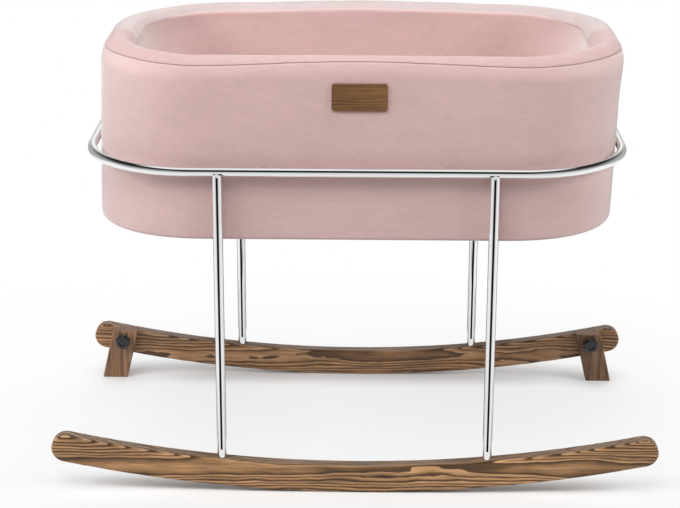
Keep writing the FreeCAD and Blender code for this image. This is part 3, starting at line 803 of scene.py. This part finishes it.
def year_share(m, place, pith, grain, ring, seed):
    """How far a point lies through its year's ring, from 0 to 1. The rings lie round a wavering
    pith line, and their spacing varies."""
    slow = waver(m, place, grain.scale(across=16, along=3.2), (seed, seed, seed), SLOW_WAVER)
    quick = waver(m, place, grain.scale(across=60, along=16), (seed, 0, seed), QUICK_WAVER)
    warped = m.vector("ADD", m.vector("ADD", m.vector("SUBTRACT", place, pith), slow), quick)
    radius = m.vector("LENGTH", m.vector("MULTIPLY", warped, grain.across))
    inputs = {"W": radius, "Scale": SPACING_WAVES / ring, "Detail": 1.0}
    spacing = m.node("TexNoise", inputs, noise_dimensions="1D").outputs["Fac"]
    years = m.math("ADD", m.math("DIVIDE", radius, ring), m.math("MULTIPLY", spacing, SPACING_YEARS))
    return m.math("FRACT", years)


def stained_wood(name, pith, along, ring=RING, seed=0.0, tones=WOOD_TONES, painted_light=1.0, edge=UPTURN_PAINTED_SHADE):
    """Brushed and stained softwood. A sawn face shows straight lines far from the pith and wide flames near
    it. Faces that turn up are multiplied by the edge tone, a painted shade with a grey painted sheen, and all
    other faces by a painted light factor, which lightens the wood above 1 and darkens it below."""
    m = Shader(name)
    place = m.place()
    grain = Grain(along)
    year = year_share(m, place, pith, grain, ring, seed)
    fibre_scale = grain.scale(across=520, along=26)
    streak_scale = grain.scale(across=260, along=9)
    cloud_scale = grain.scale(across=20, along=7)
    fibre = m.streaks(place, fibre_scale, detail=4.0, roughness=0.65)["Fac"]
    streak = m.streaks(place, streak_scale, (seed, seed, 0), detail=3.0, roughness=0.6)["Fac"]
    cloud = m.streaks(place, cloud_scale, (0, seed, 0), detail=3.0)["Fac"]
    colour = m.ramp(year, tones)
    for factor, stops in ((fibre, FIBRE_GREYS), (streak, STREAK_GREYS), (cloud, CLOUD_GREYS)):
        colour = m.times(colour, m.greys(factor, stops))
    # Painted shade and grey sheen on faces that turn up, and a painted light factor on all others.
    up = m.parts(m.node("TexCoord", {}).outputs["Normal"])["Z"]
    painted_shading = m.ramp(m.spread(up, *UPWARD), [(0.0, (painted_light, painted_light, painted_light)), (1.0, edge)])
    colour = m.times(colour, painted_shading)
    late = m.spread(year, *LATE_WOOD)
    relief = m.math("ADD", late, m.math("MULTIPLY", fibre, FIBRE_RELIEF))
    roughness = m.spread(late, 0.0, 1.0, to_low=EARLY_ROUGH, to_high=LATE_ROUGH)
    return m.finish(Base_Color=colour, Roughness=roughness, Normal=m.bump(relief, WOOD_RELIEF))


# Cloths

PATCH_TONES = [(0.3, (0.97, 0.965, 0.965)), (0.7, (1.03, 1.035, 1.03))]
BRUSH_GREYS = [(0.25, 0.965), (0.75, 1.035)]
NAP_GREYS = [(0.25, 0.955), (0.75, 1.045)]
PILE_GREYS = [(0.2, 0.90), (0.8, 1.08)]
# The pale pink and the curve of the painted sheen, which pales velvet edge-on.
PAINTED_SHEEN_PINK = (0.86, 0.77, 0.75, 1)
SHEEN_TINT = (1.0, 0.98, 0.97, 1)
PAINTED_SHEEN_CURVE = 1.3
BRUSH_RELIEF = 0.6
PILE_RELIEF = 0.25 * MM
THREAD_GREYS = [(0, 0.86), (1, 1.06)]
SLUB_GREYS = [(0.3, 0.94), (0.7, 1.04)]


def velvet(name, colour, sheen, pale, seed=0.0):
    """Short-pile velvet: it pales edge-on, by a soft sheen and by a painted sheen, which mixes its colour
    towards a pale pink edge-on as far as pale sets, and has cloudy patches where the nap lies differently,
    and fine pile."""
    m = Shader(name)
    place = m.place()
    cloud = m.streaks(place, (5, 5, 8), (seed, 0, 0), detail=3.0, roughness=0.55)["Fac"]
    brush = m.streaks(place, (26, 26, 60), (0, seed, 0), detail=3.0, roughness=0.6)["Fac"]
    nap = m.streaks(place, (70, 70, 420), (0, 0, seed), roughness=0.6)["Fac"]
    pile = m.noise(place, scale=900, roughness=0.6)["Fac"]
    tint = m.times((*colour, 1), m.ramp(cloud, PATCH_TONES))
    for factor, stops in ((brush, BRUSH_GREYS), (nap, NAP_GREYS), (pile, PILE_GREYS)):
        tint = m.times(tint, m.greys(factor, stops))
    # Painted sheen: the colour is mixed towards a pale pink where the surface turns edge-on.
    facing = m.node("LayerWeight", {"Blend": 0.5}).outputs["Facing"]
    tint = m.mix(m.math("MULTIPLY", m.math("POWER", facing, PAINTED_SHEEN_CURVE), pale), tint, PAINTED_SHEEN_PINK)
    relief = m.math("ADD", pile, m.math("MULTIPLY", brush, BRUSH_RELIEF))
    return m.finish(
        Base_Color=tint, Roughness=0.9, Specular_IOR_Level=0.15, Sheen_Weight=sheen, Sheen_Roughness=0.24,
        Sheen_Tint=SHEEN_TINT, Normal=m.bump(relief, PILE_RELIEF),
    )


def woven(name, colour, thread, depth):
    """Plain-woven cloth with crossing threads of that width."""
    m = Shader(name)
    place = m.place()
    parts = m.parts(place)
    warp, weft = (
        m.math("SINE", m.math("MULTIPLY", m.math("ADD", parts[axis], parts["Z"]), math.pi / thread))
        for axis in "XY"
    )
    weave = m.math("MULTIPLY", warp, weft)
    slub = m.streaks(place, scale=(30, 400, 400))["Fac"]
    tint = m.times((*colour, 1), m.greys(m.spread(weave, -1, 1), THREAD_GREYS))
    tint = m.times(tint, m.greys(slub, SLUB_GREYS))
    return m.finish(Base_Color=tint, Roughness=0.85, Sheen_Weight=0.15, Normal=m.bump(weave, depth))


# Dressing

X_AXIS = Vector((1, 0, 0))
Z_AXIS = Vector((0, 0, 1))

# Where the pith of each board lies: behind a rocker's outer face and above the floor, and from the
# low corner of a foot or of the plate
FRONT_PITH_DEPTH = 38 * MM
FRONT_PITH_HEIGHT = 46 * MM
REAR_PITH_DEPTH = 13.8 * MM
REAR_PITH_HEIGHT = 40 * MM
FOOT_PITH_SIDE = 24 * MM
FOOT_PITH_DEPTH = 46 * MM
PLATE_PITH_DROP = 30 * MM

FOOT_RING = 7 * MM
PLATE_RING = 3 * MM
REAR_SEED = 4.0
FOOT_SEED = 2.0
PLATE_SEED = 6.0
# Painted light on the left foot and painted shade on the right: each foot's wood is multiplied by these.
LEFT_FOOT_PAINTED_LIGHT = 1.30
RIGHT_FOOT_PAINTED_SHADE = 0.88

WALL_PINK = (0.64, 0.445, 0.43)
INSIDE_PINK = (0.655, 0.445, 0.43)
FRONT_PINK = (0.60, 0.418, 0.408)
REAR_PINK = (0.612, 0.51, 0.505)
COTTON_WHITE = (0.80, 0.78, 0.74)
LINING_BLACK = (0.06, 0.06, 0.062)


def paint(names, material):
    """Gives CAD nodes a material."""
    for name in names:
        data = frame["nodes"][name].data
        data.materials.clear()
        data.materials.append(material)


def dress(piece, node, body, material):
    """Puts a soft piece in place of its CAD node."""
    piece.data.materials.append(material)
    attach(piece, body)
    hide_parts(node)


def slot_nodes(slot):
    return [part["node"] for part in frame["record"]["subparts"] if part["material_slot"] == slot]


def paint_wood():
    """Gives each board its own wood."""
    front_pith = Vector((0, rocker_low.y + FRONT_PITH_DEPTH, FRONT_PITH_HEIGHT))
    paint(["rocker_front"], stained_wood("stained_pine_front", front_pith, X_AXIS))
    rear_pith = Vector((0, -rocker_low.y + REAR_PITH_DEPTH, REAR_PITH_HEIGHT))
    rear_wood = stained_wood("stained_pine_rear", rear_pith, X_AXIS, seed=REAR_SEED, tones=REAR_TONES)
    paint(["rocker_rear"], rear_wood)
    # The left foot is painted lighter and the right darker, as painted light and shade.
    for side, foot_x, painted_light in (("left", -foot_high.x, LEFT_FOOT_PAINTED_LIGHT), ("right", foot_low.x, RIGHT_FOOT_PAINTED_SHADE)):
        pith = Vector((foot_x + FOOT_PITH_SIDE, foot_low.y + FOOT_PITH_DEPTH, 0))
        name = "stained_pine_foot_" + side
        wood = stained_wood(
            name, pith, Z_AXIS, FOOT_RING, FOOT_SEED + foot_x, FOOT_TONES, painted_light, FOOT_UPTURN_PAINTED_SHADE
        )
        paint(["stop_foot_" + side], wood)
    plate_pith = label_low - Vector((0, 0, PLATE_PITH_DROP))
    plate_wood = stained_wood("stained_plate", plate_pith, X_AXIS, PLATE_RING, PLATE_SEED, PLATE_TONES)
    paint(["label_plate"], plate_wood)


paint(slot_nodes("chrome"), chrome())
paint(slot_nodes("steel"), steel())
paint(slot_nodes("black_plastic"), black_plastic())
paint(slot_nodes("plywood"), plywood())
paint_wood()

# Each velvet's pale sets how strong its painted sheen is edge-on.
wall_velvet = velvet("velvet_wall", WALL_PINK, sheen=1.0, pale=0.5)
inside_velvet = velvet("velvet_inside", INSIDE_PINK, sheen=1.0, pale=1.0, seed=5.0)
front_velvet = velvet("velvet_front", FRONT_PINK, sheen=0.6, pale=0.1, seed=8.0)
rear_velvet = velvet("velvet_rear", REAR_PINK, sheen=0.8, pale=0.1, seed=11.0)
cotton = woven("cotton", COTTON_WHITE, thread=0.9 * MM, depth=0.12 * MM)
lining_cloth = woven("lining_cloth", LINING_BLACK, thread=0.7 * MM, depth=0.1 * MM)
dress(outer_cover(), "outer_cover", "cradle", wall_velvet)
dress(inner_liner(), "inner_liner", "cradle", inside_velvet)
dress(rim_cover_front(), "rim_cover_front", "cradle", front_velvet)
dress(rim_cover_rear(), "rim_cover_rear", "cradle", rear_velvet)
dress(rim_foam(), "rim_pad", "cradle", foam())
dress(mattress(), "mattress", "bedding", cotton)
dress(dust_cloth(), "dust_cover", "cradle", lining_cloth)


# Studio

STUDIO_PALE = 0.74
STUDIO_GREY = 0.42
STUDIO_DARK = 0.02
SKY_GREY = 0.34

# What reflections see by the height of their direction, in front and at the sides
FRONT_GREYS = [(0.0, STUDIO_PALE), (0.10, 0.70), (0.20, STUDIO_DARK), (0.80, STUDIO_DARK), (0.88, 1.0)]
SIDE_GREYS = [
    (0.0, 0.55), (0.20, 0.40), (0.50, 0.10), (0.62, STUDIO_DARK), (0.82, STUDIO_DARK), (0.92, 1.0),
]
FRONT_BLEND = (-0.05, 0.05)
SIDE_BLEND = (0.12, 0.40)

FLOOR_HALF = 30.0
FLOOR_LOW = -0.2 * MM
FLOOR_SEEN = 0.88
FLOOR_BOUNCE = 0.55
FLOOR_FILL = 0.70
FLOOR_PAINTED_SHADE = 0.83
CONTACT_REACH = 70 * MM

# Where the floor's fill, its white edge, its dim patch of painted shade and its two reflected ends set in and
# are full
OPEN_SKY = (0.67, 0.98)
EDGE_FROM_TO = (0.45, 1.15)
PAINTED_SHADE_FROM_TO = (0.1, 1.1)
AHEAD_TO_FROM = (-1.6, -0.8)
BEHIND_FROM_TO = (0.8, 1.6)

FLAG_DARK = 0.02
FLAG_DIM = 0.22
FLAG_GAP = 12 * MM
FLAG_REACH = 7.5 * MM
BACK_GAP = 30 * MM
BACK_REACH = 75 * MM
FLAG_FOOT = 30 * MM
FLAG_TOP = 11 * MM

# Softboxes, as name, place, target, size and watts
SOFTBOXES = [
    ("top_light", (0, 0, 4.4), (0, 0, 0.5), (2.4, 1.4), 26),
    ("key_light", (-0.6, -1.9, 3.3), (0, -0.2, 0.5), (1.4, 1.4), 48),
    ("left_light", (-2.95, -1.4, 2.25), (0, 0, 0.6), (1.4, 1.4), 61),
    ("right_light", (3.15, -0.9, 2.0), (0, 0, 0.6), (1.4, 1.4), 55),
    ("back_light", (0.2, 3.3, 1.9), (0, 0.2, 0.5), (2.0, 1.2), 26),
]

# The photograph's view, as fitted to the frame and rockers: lens in millimetres, angles in degrees
LENS = 98.343
SENSOR = 36.0
CAMERA_PLACE = (0.0161, -3.1510, 1.3884)
CAMERA_TILT = 18.484
CAMERA_YAW = -0.825
CAMERA_ROLL = 0.172


def matte(name, value):
    return Shader(name).finish(Base_Color=grey(value), Roughness=1.0, Specular_IOR_Level=0.0)


def floor_material():
    """A pale floor that glows towards white, wholly far out and least where an occlusion test finds the
    cradle near, which paints its contact shadows, and is a little dimmer in a patch in front, a painted
    shade. Bounced light finds it darker and without the glow. Reflections see it pale far in front and grey
    far behind."""
    m = Shader("floor")
    place = m.place()
    light = m.node("LightPath", {}).outputs
    shine = light["Is Glossy Ray"]
    seen = m.math("MAXIMUM", light["Is Camera Ray"], m.math("MAXIMUM", shine, light["Is Transmission Ray"]))
    paper = m.mix(seen, grey(FLOOR_BOUNCE), grey(FLOOR_SEEN))
    m.finish(Base_Color=paper, Roughness=1.0, Specular_IOR_Level=0.0)
    # Less glow where the occlusion test finds the cradle near: painted contact shadows.
    open_sky = m.node("AmbientOcclusion", {"Distance": CONTACT_REACH}).outputs["AO"]
    fill = m.spread(open_sky, *OPEN_SKY, to_high=FLOOR_FILL)
    centre = m.moved(place, scale=(0.8, 1.0, 1.0), shift=(0.10, 0.24, 0.0))
    edge = m.spread(m.vector("LENGTH", centre), *EDGE_FROM_TO)
    far = m.math("ADD", fill, m.math("MULTIPLY", edge, m.math("SUBTRACT", 1.0, fill)))
    depth = m.parts(place)["Y"]
    ahead = m.math("MULTIPLY", shine, m.spread(depth, *AHEAD_TO_FROM, to_low=1.0, to_high=0.0))
    behind = m.math("MULTIPLY", shine, m.spread(depth, *BEHIND_FROM_TO))
    # A dimmer patch in front: painted shade.
    patch = m.vector("LENGTH", m.moved(place, scale=(0.7, 1.0, 1.0), shift=(0.0, 0.75, 0.0)))
    near = m.spread(patch, *PAINTED_SHADE_FROM_TO, to_low=FLOOR_PAINTED_SHADE)
    tone = m.mix(ahead, m.mix(behind, near, grey(STUDIO_GREY)), grey(STUDIO_PALE))
    glow = m.node("Emission", {"Color": tone, "Strength": 1.0}).outputs["Emission"]
    share = m.math("MAXIMUM", m.math("MULTIPLY", far, seen), m.math("MAXIMUM", ahead, behind))
    blend = m.node("MixShader", {0: share, 1: m.surface.outputs["BSDF"], 2: glow}).outputs["Shader"]
    m.feed(m.tree.nodes["Material Output"].inputs["Surface"], blend)
    return m.material


def studio_floor():
    sides = ((-1, -1), (1, -1), (1, 1), (-1, 1))
    corners = [(x * FLOOR_HALF, y * FLOOR_HALF, FLOOR_LOW) for x, y in sides]
    floor = new_piece("floor", corners, [(0, 1, 2, 3)])
    floor.data.materials.append(floor_material())


def dark_flags():
    """Upright flags in front of and behind each leg, which only reflections show: the dark line
    along the middle of the tube and its dark edges."""
    dark = matte("dark_flag", FLAG_DARK)
    dim = matte("dim_flag", FLAG_DIM)
    for name in ("leg_front_left", "leg_front_right", "leg_rear_left", "leg_rear_right"):
        low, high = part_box(name)
        middle = (low.x + high.x) / 2
        bottom, top = low.z + FLAG_FOOT, high.z - FLAG_TOP
        for kind, y, reach, paper in (
            ("front", low.y - FLAG_GAP, FLAG_REACH, dark),
            ("back", high.y + BACK_GAP, BACK_REACH, dim),
        ):
            left, right = middle - reach, middle + reach
            corners = [(left, y, bottom), (right, y, bottom), (right, y, top), (left, y, top)]
            flag = new_piece("flag_" + kind + "_" + name, corners, [(0, 1, 2, 3)])
            flag.data.materials.append(paper)
            flag.visible_camera = False
            flag.visible_diffuse = False
            flag.visible_transmission = False
            flag.visible_shadow = False


def studio_world():
    """An even grey sky for light, white behind the object, and for reflections a studio: white behind
    and overhead, dark in front above a pale foot, and grey sides that darken upwards."""
    world = bpy.data.worlds.new("studio")
    bpy.context.scene.world = world
    world.use_nodes = True
    m = Nodes(world.node_tree)
    way = m.parts(m.node("TexCoord", {}).outputs["Generated"])
    front = m.spread(way["Y"], *FRONT_BLEND, to_low=1.0, to_high=0.0)
    side = m.spread(m.math("ABSOLUTE", way["X"]), *SIDE_BLEND)
    ahead = m.greys(way["Z"], FRONT_GREYS)
    aside = m.greys(way["Z"], SIDE_GREYS)
    studio = m.mix(side, m.mix(front, grey(1.0), ahead), aside)
    light = m.node("LightPath", {}).outputs
    seen = m.math("MAXIMUM", light["Is Camera Ray"], light["Is Transmission Ray"])
    tone = m.mix(light["Is Glossy Ray"], grey(SKY_GREY), studio)
    m.feed(m.tree.nodes["Background"].inputs["Color"], m.mix(seen, tone, grey(1.0)))


def softbox(name, place, target, size, power):
    """An area lamp that doesn't show in reflections."""
    data = bpy.data.lights.new(name, "AREA")
    data.shape = "RECTANGLE"
    data.size, data.size_y = size
    data.energy = power
    lamp = bpy.data.objects.new(name, data)
    lamp.location = place
    lamp.rotation_euler = (Vector(target) - Vector(place)).to_track_quat("-Z", "Y").to_euler()
    lamp.visible_glossy = False
    bpy.context.scene.collection.objects.link(lamp)


def camera():
    data = bpy.data.cameras.new("camera")
    data.lens = LENS
    data.sensor_width = SENSOR
    view = bpy.data.objects.new("camera", data)
    tilt, yaw, roll = (math.radians(angle) for angle in (CAMERA_TILT, CAMERA_YAW, CAMERA_ROLL))
    turn = Matrix.Rotation(-yaw, 4, "Z")
    turn = turn @ Matrix.Rotation(math.pi / 2 - tilt, 4, "X") @ Matrix.Rotation(roll, 4, "Z")
    view.matrix_world = Matrix.Translation(CAMERA_PLACE) @ turn
    bpy.context.scene.collection.objects.link(view)
    bpy.context.scene.camera = view


studio_floor()
dark_flags()
studio_world()
for name, place, target, size, power in SOFTBOXES:
    softbox(name, place, target, size, power)
camera()
bpy.context.scene.view_settings.view_transform = "Standard"
